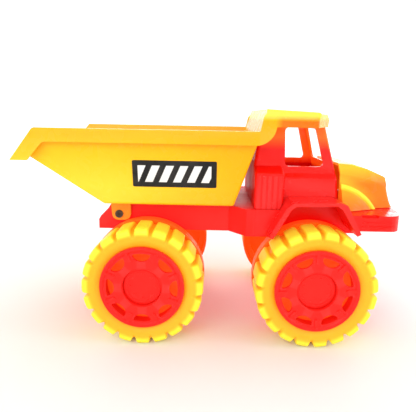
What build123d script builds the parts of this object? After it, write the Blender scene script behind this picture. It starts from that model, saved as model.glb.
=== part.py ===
"""Toy dump truck: red chassis and cab, yellow tipping bed, four push-along wheels.

Millimetres, +X forward, +Y to the truck's left, +Z up.  The origin is on the
ground under the middle of the truck.
"""
from build123d import *
from math import asin, cos, degrees, radians, sin, tan
import os

os.makedirs("parts", exist_ok=True)

# ---------------------------------------------------------------- driving dimensions
WALL = 2.5                    # moulded wall of every plastic shell
FAR = 300.0                   # longer than anything that is cut

AXLE_Z = 58.0
REAR_AXLE_X = -65.0
FRONT_AXLE_X = 100.0
AXLE_RADIUS = 2.5
AXLE_RUNNING_GAP = 0.06       # radial, axle in the chassis hangers

TYRE_RADIUS = 58.0
TYRE_INNER_Y = 60.5
TYRE_OUTER_Y = 111.0
TREAD_RADIUS = 54.0           # bottom of the grooves between the lugs
LUG_COUNT = 20
LUG_INNER_Y = 75.0
LUG_WIDTH = 14.2
LUG_FOOT_RADIUS = 49.0
BEAD_RADIUS = 38.0
BAND_OUTER_Y = 74.0           # smooth band of the wheel core, inboard of the lugs
CORE_DRUM_RADIUS = 51.2
CORE_WEB_Y = 96.5

HUB_RADIUS = 40.0
HUB_FACE_Y = 110.4
HUB_RIM_Y = 111.5
HUB_SKIRT_RADIUS = 37.8
HUB_BOSS_RADIUS = 7.0
RECESS_RADIUS = 18.5
RECESS_FLOOR_Y = 104.0
WINDOW_COUNT = 8
WINDOW_OUTER_RADIUS = 34.0
WINDOW_DEPTH = 8.0
WINDOW_WIDTH = 17.6
SPOKE_RADIUS = 32.0
SPOKE_LENGTH = 9.5
SPOKE_WIDTH = 3.4
CAP_RADIUS = 18.3
CAP_FACE_Y = 106.0

DECK_Z = 127.6
RAIL_BOTTOM_Z = 100.0
RAIL_HALF = 52.0
CHASSIS_REAR_X = -118.8
CHASSIS_NOSE_X = 150.0
SIDE_BOX_HALF = 72.0
FENDER_HALF = 92.0
FENDER_INNER_Y = 55.3
BUMPER_HALF = 90.0
BUMPER_REAR_X = 128.0
BUMPER_NOSE = [(173.5, 90.0), (179.5, 85.0), (182.5, 75.0), (185.3, 60.0), (187.6, 42.0), (189.0, 22.0)]
BUMPER_BOTTOM_Z = 112.4

HINGE_X = -96.1
HINGE_Z = 117.2
HINGE_SHANK_RADIUS = 2.0
HINGE_RUNNING_GAP = 0.06      # radial, bed ear on the hinge screw
EAR_INNER_Y = 52.4
EAR_OUTER_Y = 57.0
EAR_FRONT_X = -84.5
EAR_REAR_X = -104.7
EAR_BOTTOM_Z = 110.6
EAR_TAPER = 1.4
EAR_CORNER = 6.5
TIP_CLEAR_RADIUS = 13.0       # chassis stays inside this, above and behind the hinge

BED_FLOOR_Z = 131.0
BED_FLOOR_REAR_X = -107.0
BED_FLOOR_FRONT_X = 21.0
BED_FLOOR_HALF = 75.5
RIM_Z = 204.6
RIM_HALF = 90.0               # outside of the side wall at the rim
RAMP_ANGLE = 34.4             # of the loading ramp, from level
HEADBOARD_LEAN = 18.0         # of the front wall, from upright
SPOUT_TIP_X = -189.0
SPOUT_TIP_Z = 174.5
RIM_REAR_X = -166.0
SKIRT_HALF = 93.5
SKIRT_HEIGHT = 12.6
SKIRT_WALL = 2.3

CANOPY_TOP_Z = 225.0
CANOPY_BROW_Z = 222.0         # the roof slopes down to this at its front edge
CANOPY_SHOULDER_Z = 215.4
CANOPY_LIP_Z = 208.8
CANOPY_REAR_X = 42.0          # at the rim
CANOPY_LEAN = 12.6
CANOPY_FRONT_X = 116.0
CANOPY_CORNER = (94.5, 46.0)  # plan corner: start of the slant, and half width at the front
CANOPY_BEVEL = 10.5
CANOPY_BROW_DEPTH = 6.0
CANOPY_LIP_SETBACK = 1.6
CANOPY_ROUND = 2.4
CANOPY_DRAFT = 10.0           # the space beneath is cut this far below the skirt

CAB_REAR_X = 41.5
CAB_FRONT_X = 128.6
CAB_TOP_Z = 213.0
CAB_HALF = 55.0
CAB_SHELF_HALF = 68.2         # ribbed box behind each door
CAB_BELT_Z = 162.5
CAB_BELT_HALF = 51.5
CAB_TOP_HALF = 46.5
CAB_BASE_Z = DECK_Z + 0.1

HOOD_REAR_X = CAB_FRONT_X + 0.2
HOOD_FRONT_X = 186.0
HOOD_BASE_Z = 128.3

STANDING = (Align.CENTER, Align.CENTER, Align.MIN)
CAB_ROUND = 3.0
HOOD_ROUND = 3.0
SCREW_SHANK = 1.5
SCREW_HEAD = 3.0


def mirrored_points(points):
    """Close an outline given for +Y by adding its mirror image."""
    return points + [(x, -y) for x, y in reversed(points)]


def slope(angle):
    """Run over rise of a line that leans by this angle."""
    return tan(radians(angle))


def save(part, name):
    part.label = name
    export_step(part, f"parts/{name}.step")


# ---------------------------------------------------------------- chassis
# Rails, the flare into the side boxes, and the nose, seen from above.
FLARE_X = (17.0, 34.0)
SIDE_BOX_FRONT_X = 72.0
CHASSIS_PLAN = mirrored_points(
    [
        (CHASSIS_REAR_X, RAIL_HALF),
        (FLARE_X[0], RAIL_HALF),
        (FLARE_X[1], SIDE_BOX_HALF),
        (SIDE_BOX_FRONT_X, SIDE_BOX_HALF),
        (SIDE_BOX_FRONT_X, RAIL_HALF),
        (CHASSIS_NOSE_X, RAIL_HALF),
    ]
)


def bumper_plan(inset):
    nose = [(x - inset, y - inset) for x, y in BUMPER_NOSE]
    return mirrored_points([(BUMPER_REAR_X + inset, BUMPER_HALF - inset)] + nose)


def clear_circle_point(angle):
    """A point on the circle, about the hinge, that the tipping bed never enters."""
    return (
        HINGE_X + TIP_CLEAR_RADIUS * cos(radians(angle)),
        HINGE_Z + TIP_CLEAR_RADIUS * sin(radians(angle)),
    )


ARCH_INNER = [(58.6, 103.0), (74.6, 131.6), (78.8, 135.4), (118.2, 136.6), (123.2, 133.0), (139.0, 107.5)]
ARCH_OUTER = [(142.6, 109.6), (127.6, 137.4), (120.6, 139.8), (76.6, 138.6), (70.6, 133.6), (54.6, 105.2)]
ARCH_ROUND = 1.2
BUMPER_CORNER = 9.0
TAIL_ANGLES = (142.0, 157.0)  # of the rounding behind the hinge
TAIL_KNUCKLE = [(-116.6, 113.4), (CHASSIS_REAR_X, 109.5)]
TAIL_SHELF_X = -104.0
TAIL_SHELF_Z = 108.0
SIDE_BOX_INSIDE_X = 51.0
HINGE_BLOCK = 12.0
HANGER_TOP_HALF = 24.0
HANGER_BOTTOM_HALF = 7.0
HANGER_Y = (43.0, 49.4)
HANGER_BOSS_RADIUS = 7.5
HANGER_BOSS_Y = (40.0, 56.0)
BED_PAD_X = (-55.0, -5.0)
BED_PAD_LENGTH = 4.0
BED_PAD_WIDTH = 84.0
BED_PAD_HEIGHT = 3.1
LAMP_STEP_X = 150.0
LAMP_STEP_LENGTH = 16.0
LAMP_STEP_DEPTH = 4.4
LAMP_STEP_HEIGHT = 1.9
LAMP_FLOOR = (24.0, 9.0, 4.4)         # thick corner behind the step: length, depth, height
MOULDED_LINES_Z = (121.6, 117.6)
MOULDED_LINE_X = 160.0
MOULDED_LINE = (34.0, 1.2, 0.9)       # length, depth across both faces, height
BODY_SCREWS = [(50.0, 36.0), (50.0, -36.0), (119.5, 36.0), (119.5, -36.0)]
HOOD_SCREWS = [(144.0, 38.0), (144.0, -38.0)]
SCREW_SEAT_Z = 121.0

with BuildPart() as chassis:
    # Box section, its tail rounded off about the hinge.
    with BuildSketch(Plane.XY.offset(RAIL_BOTTOM_Z)):
        Polygon(*CHASSIS_PLAN, align=None)
    extrude(amount=DECK_Z - RAIL_BOTTOM_Z)
    tail_angle = 180.0 - degrees(asin((DECK_Z - HINGE_Z) / TIP_CLEAR_RADIUS))
    tail = [clear_circle_point(angle) for angle in (tail_angle, *TAIL_ANGLES)]
    with BuildSketch(Plane.XZ):
        with BuildLine():
            ThreePointArc(*tail)
            Polyline(
                tail[2],
                *TAIL_KNUCKLE,
                (CHASSIS_REAR_X, RAIL_BOTTOM_Z),
                (CHASSIS_NOSE_X, RAIL_BOTTOM_Z),
                (CHASSIS_NOSE_X, DECK_Z),
                tail[0],
            )
        make_face()
    extrude(amount=FAR, both=True, mode=Mode.INTERSECT)
    # Front bumper and the two wheel arches, with the wheels' space cut from the side boxes.
    with BuildSketch(Plane.XY.offset(BUMPER_BOTTOM_Z)) as bumper_sketch:
        Polygon(*bumper_plan(0.0), align=None)
        corners = bumper_sketch.vertices().filter_by_position(Axis.X, CHASSIS_NOSE_X, BUMPER_NOSE[2][0] + 1.0)
        fillet(corners, radius=BUMPER_CORNER)
    extrude(amount=DECK_Z - BUMPER_BOTTOM_Z)
    for side in (1, -1):
        with BuildSketch(Plane.XZ.offset(-side * FENDER_INNER_Y)):
            Polygon(*ARCH_INNER, *ARCH_OUTER, align=None)
        extrude(amount=-side * (FENDER_HALF - FENDER_INNER_Y))
        with BuildSketch(Plane.XZ.offset(-side * RAIL_HALF)):
            Polygon((ARCH_INNER[0][0], AXLE_Z), *ARCH_INNER, (ARCH_INNER[-1][0], AXLE_Z), align=None)
        extrude(amount=-side * FAR, mode=Mode.SUBTRACT)
    arch_edges = chassis.edges().filter_by(Axis.Y).filter_by_position(Axis.Z, DECK_Z + 1.0, FAR)
    fillet(arch_edges, radius=ARCH_ROUND)
    # Open underside: the tail keeps a thicker end for the hinge.
    for rear_x, low_z, high_z in (
        (CHASSIS_REAR_X + WALL, RAIL_BOTTOM_Z, TAIL_SHELF_Z),
        (TAIL_SHELF_X, TAIL_SHELF_Z, DECK_Z - WALL),
    ):
        with BuildSketch(Plane.XY.offset(low_z)):
            Polygon(
                *mirrored_points([(rear_x, RAIL_HALF - WALL), (CHASSIS_NOSE_X - WALL, RAIL_HALF - WALL)]),
                align=None,
            )
        extrude(amount=high_z - low_z, mode=Mode.SUBTRACT)
    with BuildSketch(Plane.XY.offset(BUMPER_BOTTOM_Z)):
        Polygon(*bumper_plan(WALL), align=None)
        Rectangle(2 * CHASSIS_NOSE_X, FAR, mode=Mode.SUBTRACT)
    extrude(amount=DECK_Z - WALL - BUMPER_BOTTOM_Z, mode=Mode.SUBTRACT)
    for side in (1, -1):
        with BuildSketch(Plane.XY.offset(RAIL_BOTTOM_Z)):
            Polygon(
                (FLARE_X[0] + 2 * WALL, side * RAIL_HALF),
                (FLARE_X[1] + WALL, side * (SIDE_BOX_HALF - WALL)),
                (SIDE_BOX_INSIDE_X, side * (SIDE_BOX_HALF - WALL)),
                (SIDE_BOX_INSIDE_X, side * RAIL_HALF),
                align=None,
            )
        extrude(amount=DECK_Z - WALL - RAIL_BOTTOM_Z, mode=Mode.SUBTRACT)
    # Hangers that carry the axles, and the cross ribs that the bed rests on.
    for axle_x in (REAR_AXLE_X, FRONT_AXLE_X):
        for side in (1, -1):
            with BuildSketch(Plane.XZ.offset(-side * HANGER_Y[1])):
                Polygon(
                    (axle_x - HANGER_TOP_HALF, DECK_Z - WALL),
                    (axle_x + HANGER_TOP_HALF, DECK_Z - WALL),
                    (axle_x + HANGER_BOTTOM_HALF, AXLE_Z),
                    (axle_x - HANGER_BOTTOM_HALF, AXLE_Z),
                    align=None,
                )
            extrude(amount=side * (HANGER_Y[1] - HANGER_Y[0]))
            with BuildSketch(Plane.XZ.offset(-side * HANGER_BOSS_Y[1])):
                with Locations((axle_x, AXLE_Z)):
                    Circle(HANGER_BOSS_RADIUS)
            extrude(amount=side * (HANGER_BOSS_Y[1] - HANGER_BOSS_Y[0]))
        with BuildSketch(Plane.XZ):
            with Locations((axle_x, AXLE_Z)):
                Circle(AXLE_RADIUS + AXLE_RUNNING_GAP)
        extrude(amount=FAR, both=True, mode=Mode.SUBTRACT)
    with Locations(*[(x, 0.0, DECK_Z) for x in BED_PAD_X]):
        Box(BED_PAD_LENGTH, BED_PAD_WIDTH, BED_PAD_HEIGHT, align=STANDING)
    # Hinge screw holes through the rails, and the posts that the body screws pass up through.
    with Locations((HINGE_X, 0.0, HINGE_Z)):
        Box(HINGE_BLOCK, 2 * RAIL_HALF - 1.0, HINGE_BLOCK)
    with BuildSketch(Plane.XZ):
        with Locations((HINGE_X, HINGE_Z)):
            Circle(HINGE_SHANK_RADIUS)
    extrude(amount=FAR, both=True, mode=Mode.SUBTRACT)
    with Locations(*[(x, y, SCREW_SEAT_Z) for x, y in BODY_SCREWS + HOOD_SCREWS]):
        Cylinder(2 * SCREW_HEAD, DECK_Z - WALL - SCREW_SEAT_Z, align=STANDING)
        Cylinder(SCREW_SHANK, FAR, mode=Mode.SUBTRACT)
    # Stepped recess in each top corner of the bumper, over two moulded lines.
    for side in (1, -1):
        floor_y = side * (BUMPER_HALF - LAMP_FLOOR[1] / 2 - 0.1)
        with Locations((LAMP_STEP_X, floor_y, DECK_Z - LAMP_FLOOR[2])):
            Box(*LAMP_FLOOR, align=STANDING)
        with Locations((LAMP_STEP_X, side * BUMPER_HALF, DECK_Z)):
            Box(LAMP_STEP_LENGTH, 2 * LAMP_STEP_DEPTH, 2 * LAMP_STEP_HEIGHT, mode=Mode.SUBTRACT)
        with Locations(*[(MOULDED_LINE_X, side * BUMPER_HALF, z) for z in MOULDED_LINES_Z]):
            Box(*MOULDED_LINE, mode=Mode.SUBTRACT)

# ---------------------------------------------------------------- cab
WINDOW_SILL_Z = 169.0
WINDOW_HEAD_Z = 208.0
WINDOW_CORNER = 4.0
SIDE_WINDOW = [(73.0, WINDOW_SILL_Z), (112.8, WINDOW_SILL_Z), (102.4, WINDOW_HEAD_Z), (72.0, WINDOW_HEAD_Z)]
WINDSCREEN = [(-43.0, 171.5), (43.0, 171.5), (38.0, 206.0), (-38.0, 206.0)]
CAB_BACK = [(44.5, 190.0), (53.0, CAB_TOP_Z)]
CAB_FRONT = [(111.6, CAB_TOP_Z), (123.4, WINDOW_SILL_Z), (126.2, 158.5), (CAB_FRONT_X, 138.0)]
CAB_SHOULDER_Z = 157.5
SHELF_X = (CAB_REAR_X, 71.0)
SHELF_TOP = ((68.2, 163.8), (50.5, 169.3))     # (half width, z) of the sloping lid, outside to inside
ARCH_CLEAR = [(54.0, 104.0), (70.2, 134.0), (76.3, 139.1), (90.0, 139.1), (90.0, 104.0)]
RIB_COUNT = 5
RIB_PITCH = 5.4
RIB_WIDTH = 3.4
RIB_PROUD = 0.8
POST_RADIUS = 4.5
POST_HEIGHT = 13.0
POST_TIE_LENGTH = 8.0
POST_TIE_SHIFT = 3.5
SCREW_HOLE_DEPTH = 12.0


def cab_side(inset):
    """Outline from the side, up the back, along the roof and down the front."""
    back = [(CAB_REAR_X, CAB_BASE_Z), (CAB_REAR_X, WINDOW_SILL_Z), *CAB_BACK]
    front = [*CAB_FRONT, (CAB_FRONT_X, CAB_BASE_Z)]
    outline = [(x + inset, z) for x, z in back] + [(x - inset, z) for x, z in front]
    return [(x, min(z, CAB_TOP_Z - inset)) for x, z in outline]


def cab_front(inset):
    """Outline from the front: upright doors, a ledge at the belt and sides that lean in."""
    half = [
        (CAB_HALF - inset, CAB_BASE_Z),
        (CAB_HALF - inset, CAB_SHOULDER_Z),
        (CAB_BELT_HALF - inset, CAB_BELT_Z),
        (CAB_TOP_HALF - inset, CAB_TOP_Z - inset),
    ]
    return half + [(-y, z) for y, z in reversed(half)]


def cab_block(inset):
    """The cab without its side boxes, as a solid; with an inset, the space inside it."""
    with BuildPart() as block:
        with BuildSketch(Plane.XZ):
            Polygon(*cab_side(inset), align=None)
        extrude(amount=FAR, both=True)
        with BuildSketch(Plane.YZ):
            Polygon(*cab_front(inset), align=None)
        extrude(amount=FAR, both=True, mode=Mode.INTERSECT)
    return block.part


def shelf_block(inset):
    """The box behind both doors, right across the cab, or the space inside it."""
    outer, inner = SHELF_TOP
    half = [(outer[0] - inset, CAB_BASE_Z), (outer[0] - inset, outer[1] - inset)]
    half += [(inner[0], inner[1] - inset)]
    with BuildPart() as block:
        with BuildSketch(Plane.YZ.offset(SHELF_X[0] + inset)):
            Polygon(*half, *[(-y, z) for y, z in reversed(half)], align=None)
        extrude(amount=SHELF_X[1] - SHELF_X[0] - 2 * inset)
        if not inset:
            outer_edges = block.edges().filter_by(lambda edge: abs(edge.center().Y) > CAB_HALF)
            fillet(outer_edges.filter_by(lambda edge: edge.center().Z > CAB_BASE_Z + 1.0), radius=CAB_ROUND)
    return block.part


with BuildPart() as cab:
    add(cab_block(0.0))
    fillet(cab.edges().filter_by(lambda edge: edge.center().Z > CAB_BASE_Z + 1.0), radius=CAB_ROUND)
    add(shelf_block(0.0))
    # Upright ribs on the outside of each box.
    for side in (1, -1):
        rib_x = [sum(SHELF_X) / 2 + (index - (RIB_COUNT - 1) / 2) * RIB_PITCH for index in range(RIB_COUNT)]
        with Locations(*[(x, side * CAB_SHELF_HALF, CAB_BASE_Z) for x in rib_x]):
            Box(RIB_WIDTH, 2 * RIB_PROUD, SHELF_TOP[0][1] - CAB_ROUND - CAB_BASE_Z, align=STANDING)
    # Notch over the wheel arch behind each door.
    for side in (1, -1):
        with BuildSketch(Plane.XZ.offset(-side * (CAB_HALF + 0.1))):
            Polygon(*ARCH_CLEAR, align=None)
        extrude(amount=-side * FAR, mode=Mode.SUBTRACT)
    # Hollow inside, open at the bottom.
    add(cab_block(WALL), mode=Mode.SUBTRACT)
    add(shelf_block(WALL), mode=Mode.SUBTRACT)
    # Side windows and windscreen.
    with BuildSketch(Plane.XZ) as side_window:
        Polygon(*SIDE_WINDOW, align=None)
        fillet(side_window.vertices(), radius=WINDOW_CORNER)
    extrude(amount=FAR, both=True, mode=Mode.SUBTRACT)
    with BuildSketch(Plane.YZ.offset(SIDE_WINDOW[2][0])) as windscreen:
        Polygon(*WINDSCREEN, align=None)
        fillet(windscreen.vertices(), radius=WINDOW_CORNER)
    extrude(amount=CAB_FRONT_X - CAB_REAR_X, mode=Mode.SUBTRACT)
    # Posts that the body screws bite into, each tied to the nearest wall.
    for x, y in BODY_SCREWS:
        with Locations((x, y, CAB_BASE_Z)):
            Cylinder(POST_RADIUS, POST_HEIGHT, align=STANDING)
        toward_wall = POST_TIE_SHIFT if x > SHELF_X[1] else -POST_TIE_SHIFT
        with Locations((x + toward_wall, y, CAB_BASE_Z)):
            Box(POST_TIE_LENGTH, WALL, POST_HEIGHT, align=STANDING)
        with Locations((x, y, CAB_BASE_Z)):
            Cylinder(SCREW_SHANK, 2 * SCREW_HOLE_DEPTH, mode=Mode.SUBTRACT)

# ---------------------------------------------------------------- hood
# (x, half width at the base, half width and height of the shoulder)
HOOD_STATIONS = ((HOOD_REAR_X, 57.5, 54.0, 163.5), (163.0, 57.0, 48.8, 156.0), (188.0, 50.0, 45.0, 150.4))
HOOD_CROWN = [(HOOD_REAR_X, 172.4), (146.0, 170.9), (162.0, 166.2), (181.0, 158.0)]
HOOD_NOSE = [(180.2, 147.3), (181.4, 141.0), (183.6, 133.0), (HOOD_FRONT_X, HOOD_BASE_Z)]
HOOD_RIDGE_RISE = 19.0        # of the bevel, drawn well past the crown
DOME_CENTRE = (121.5, 103.0)
DOME_PROFILE = ((48.4, 52.0), (48.8, 56.5), (46.6, 61.5), (37.2, 67.8), (29.8, 73.2), (22.0, 77.0))
BEAD = (47.8, 58.6, 3.2)      # (distance from the dome's axis, half width, radius of the bead)
FENDER_CLEAR = [(110.0, 100.0), (110.0, 140.3), (120.8, 140.3), (128.1, 137.7), (143.1, 109.9)]
HOOD_POST_LENGTH = 9.0
HOOD_POST_HALF = (33.5, 56.0)


def hood_block(inset):
    """The hood without its side domes, as a solid; with an inset, the space inside it."""
    with BuildPart() as block:
        for x, base, shoulder, shoulder_z in HOOD_STATIONS:
            half = [(base - inset, HOOD_BASE_Z), (shoulder - inset, shoulder_z - inset / 2)]
            half += [(shoulder - inset - HOOD_RIDGE_RISE, shoulder_z - inset / 2 + HOOD_RIDGE_RISE)]
            with BuildSketch(Plane.YZ.offset(x)):
                Polygon(*half, *[(-y, z) for y, z in reversed(half)], align=None)
        loft(ruled=True)
        crown = [(x, z - inset) for x, z in HOOD_CROWN]
        crown[-1] = (crown[-1][0] - inset, crown[-1][1])
        nose = [(x - inset, z) for x, z in HOOD_NOSE]
        with BuildSketch(Plane.XZ):
            Polygon((HOOD_REAR_X, HOOD_BASE_Z), *crown, *nose, align=None)
        extrude(amount=FAR, both=True, mode=Mode.INTERSECT)
    return block.part


def dome(inset):
    """Rounded swelling over the left wheel arch, turned about a crosswise axis, in front of the cab."""
    profile = [(radius - inset, y - inset) for radius, y in DOME_PROFILE[1:]]
    turning = Plane(origin=(DOME_CENTRE[0], 0, DOME_CENTRE[1]), x_dir=(1, 0, 0), z_dir=(0, 0, 1))
    with BuildPart() as swelling:
        with BuildSketch(turning):
            with BuildLine():
                Spline((DOME_PROFILE[0][0] - inset, DOME_PROFILE[0][1]), *profile)
                Polyline(
                    profile[-1],
                    (0.0, profile[-1][1]),
                    (0.0, DOME_PROFILE[0][1]),
                    (DOME_PROFILE[0][0] - inset, DOME_PROFILE[0][1]),
                )
            make_face()
            if not inset:
                with Locations(BEAD[:2]):
                    Circle(BEAD[2])
        revolve(axis=Axis((DOME_CENTRE[0], 0, DOME_CENTRE[1]), (0, 1, 0)))
        with Locations((HOOD_REAR_X + inset, 0, HOOD_BASE_Z)):
            Box(FAR, FAR, FAR, align=(Align.MIN, Align.CENTER, Align.MIN), mode=Mode.INTERSECT)
    return swelling.part


with BuildPart() as hood:
    add(hood_block(0.0))
    upper = hood.edges().filter_by(lambda edge: edge.center().Z > HOOD_BASE_Z + 1.0)
    fillet(upper.filter_by(lambda edge: edge.center().X > HOOD_REAR_X + 1.0), radius=HOOD_ROUND)
    add(dome(0.0))
    add(mirror(dome(0.0), about=Plane.XZ))
    add(hood_block(WALL), mode=Mode.SUBTRACT)
    add(dome(WALL), mode=Mode.SUBTRACT)
    add(mirror(dome(WALL), about=Plane.XZ), mode=Mode.SUBTRACT)
    # Room for the wheel arches of the chassis.
    for side in (1, -1):
        with BuildSketch(Plane.XZ.offset(-side * CAB_HALF)):
            Polygon(*FENDER_CLEAR, align=None)
        extrude(amount=-side * FAR, mode=Mode.SUBTRACT)
    # Posts that the hood screws bite into, joined to the side walls.
    for x, y in HOOD_SCREWS:
        with Locations((x, y / abs(y) * sum(HOOD_POST_HALF) / 2, HOOD_BASE_Z)):
            Box(HOOD_POST_LENGTH, HOOD_POST_HALF[1] - HOOD_POST_HALF[0], POST_HEIGHT, align=STANDING)
        with Locations((x, y, HOOD_BASE_Z)):
            Cylinder(SCREW_SHANK, 2 * SCREW_HOLE_DEPTH, mode=Mode.SUBTRACT)


# ---------------------------------------------------------------- dump bed
def ramp_z(x):
    """Height of the underside of the ramp at x."""
    return BED_FLOOR_Z + (BED_FLOOR_REAR_X - x) * slope(RAMP_ANGLE)


def headboard_x(z):
    """Front face of the bed's front wall at height z."""
    return BED_FLOOR_FRONT_X + (z - BED_FLOOR_Z) * slope(HEADBOARD_LEAN)


SIDE_SLOPE = (RIM_HALF - BED_FLOOR_HALF) / (RIM_Z - BED_FLOOR_Z)
SPOUT_SLOPE = (RIM_Z - SPOUT_TIP_Z) / (RIM_REAR_X - SPOUT_TIP_X)
SKIRT_Z = RIM_Z - SKIRT_HEIGHT
SKIRT_REAR_X = -157.5
SPOUT_TIP_LENGTH = 16.0
SPOUT_LIP = 3.7
RIM_CORNER = 4.0
SKIRT_CORNER = 6.0


def half_width(z):
    """Outside of the bed's sloping side wall at height z."""
    return BED_FLOOR_HALF + (z - BED_FLOOR_Z) * SIDE_SLOPE


def spout_x(z):
    """Slanting rear edge of the side walls at height z."""
    return RIM_REAR_X - (RIM_Z - z) / SPOUT_SLOPE


def canopy_x(z):
    """Rear face of the front wall above the rim, where it stands up as the canopy's back."""
    return CANOPY_REAR_X + (z - RIM_Z) * slope(CANOPY_LEAN)


def tub_outline(inset, top_z):
    """Floor, ramp and front wall from the side, up to a given height."""
    floor_z = BED_FLOOR_Z + inset
    thick = inset / cos(radians(HEADBOARD_LEAN))
    return [
        (BED_FLOOR_REAR_X + inset * RAMP_CORNER, floor_z),
        (headboard_x(floor_z) - thick, floor_z),
        (headboard_x(top_z) - thick, top_z),
    ]


def tub_section(inset, top_z):
    half = [
        (half_width(BED_FLOOR_Z + inset) - inset * SIDE_INSET, BED_FLOOR_Z + inset),
        (half_width(top_z) - inset * SIDE_INSET, top_z),
    ]
    return half + [(-y, z) for y, z in reversed(half)]


SPOUT_Z = 182.7               # where the ramp runs out under the spout
SPOUT_TAIL_X = -170.0
RAMP_CORNER = slope(RAMP_ANGLE / 2)
SIDE_INSET = (1 + SIDE_SLOPE**2) ** 0.5
TUB_CORNER = 3.4
INSIDE_CORNER = 3.0
RAMP_RISE = WALL / cos(radians(RAMP_ANGLE))
TALL = 1.2 * FAR

with BuildPart() as tub:
    with BuildSketch(Plane.XZ):
        Polygon(*tub_outline(0.0, RIM_Z), (RIM_REAR_X, RIM_Z), (spout_x(SPOUT_Z), SPOUT_Z), align=None)
    extrude(amount=FAR, both=True)
    with BuildSketch(Plane.YZ):
        Polygon(*tub_section(0.0, FAR), align=None)
    extrude(amount=FAR, both=True, mode=Mode.INTERSECT)
    below_rim = tub.edges().filter_by(lambda edge: edge.center().Z < RIM_Z - 1.0)
    fillet(below_rim.filter_by(lambda edge: edge.center().X > SPOUT_TAIL_X), radius=TUB_CORNER)

with BuildPart() as bed_inside:
    with BuildSketch(Plane.XZ):
        Polygon(*tub_outline(WALL, FAR), (-FAR, FAR), (-FAR, ramp_z(-FAR) + RAMP_RISE), align=None)
    extrude(amount=FAR, both=True)
    with BuildSketch(Plane.YZ):
        Polygon(*tub_section(WALL, TALL), align=None)
    extrude(amount=TALL, both=True, mode=Mode.INTERSECT)
    below_top = bed_inside.edges().filter_by(lambda edge: edge.center().Z < FAR - 1.0)
    fillet(below_top.filter_by(lambda edge: edge.center().X > 1.0 - FAR), radius=INSIDE_CORNER)


def canopy_block(inset, bottom_z):
    """The canopy over the cab as a solid; with an inset, the space beneath it."""
    with BuildPart() as block:
        # From the side: an upright back, a roof that slopes forward and a short brow.
        with BuildSketch(Plane.XZ):
            Polygon(
                (canopy_x(bottom_z) + inset, bottom_z),
                (canopy_x(CANOPY_TOP_Z - inset) + inset, CANOPY_TOP_Z - inset),
                (CANOPY_FRONT_X - inset - CANOPY_BROW_DEPTH, CANOPY_BROW_Z - inset),
                (CANOPY_FRONT_X - inset, CANOPY_SHOULDER_Z + 1.2 - inset / 2),
                (CANOPY_FRONT_X - inset - CANOPY_LIP_SETBACK, bottom_z),
                align=None,
            )
        extrude(amount=FAR, both=True)
        half = [(SKIRT_HALF - inset, bottom_z), (SKIRT_HALF - inset, CANOPY_SHOULDER_Z - inset / 2)]
        half += [(SKIRT_HALF - inset - CANOPY_BEVEL, CANOPY_TOP_Z - inset)]
        with BuildSketch(Plane.YZ):
            Polygon(*half, *[(-y, z) for y, z in reversed(half)], align=None)
        extrude(amount=FAR, both=True, mode=Mode.INTERSECT)
        plan = [(0.0, SKIRT_HALF - inset), (CANOPY_CORNER[0] - inset / 2, SKIRT_HALF - inset)]
        plan += [(CANOPY_FRONT_X - inset, CANOPY_CORNER[1] - inset / 2)]
        with BuildSketch(Plane.XY):
            Polygon(*mirrored_points(plan), align=None)
        extrude(amount=FAR, mode=Mode.INTERSECT)
        if not inset:
            above_lip = block.edges().filter_by(lambda edge: edge.center().Z > CANOPY_LIP_Z + 2.0)
            fillet(above_lip, radius=CANOPY_ROUND)
    return block.part


CHEEK_X = 57.0                # where the curved cheek meets the canopy's lip
CHEEK_CURVE = [(CHEEK_X, CANOPY_LIP_Z), (52.4, 198.2), (41.0, SKIRT_Z)]
canopy = canopy_block(0.0, CANOPY_LIP_Z)
canopy_inside = canopy_block(SKIRT_WALL, SKIRT_Z - CANOPY_DRAFT)

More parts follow.
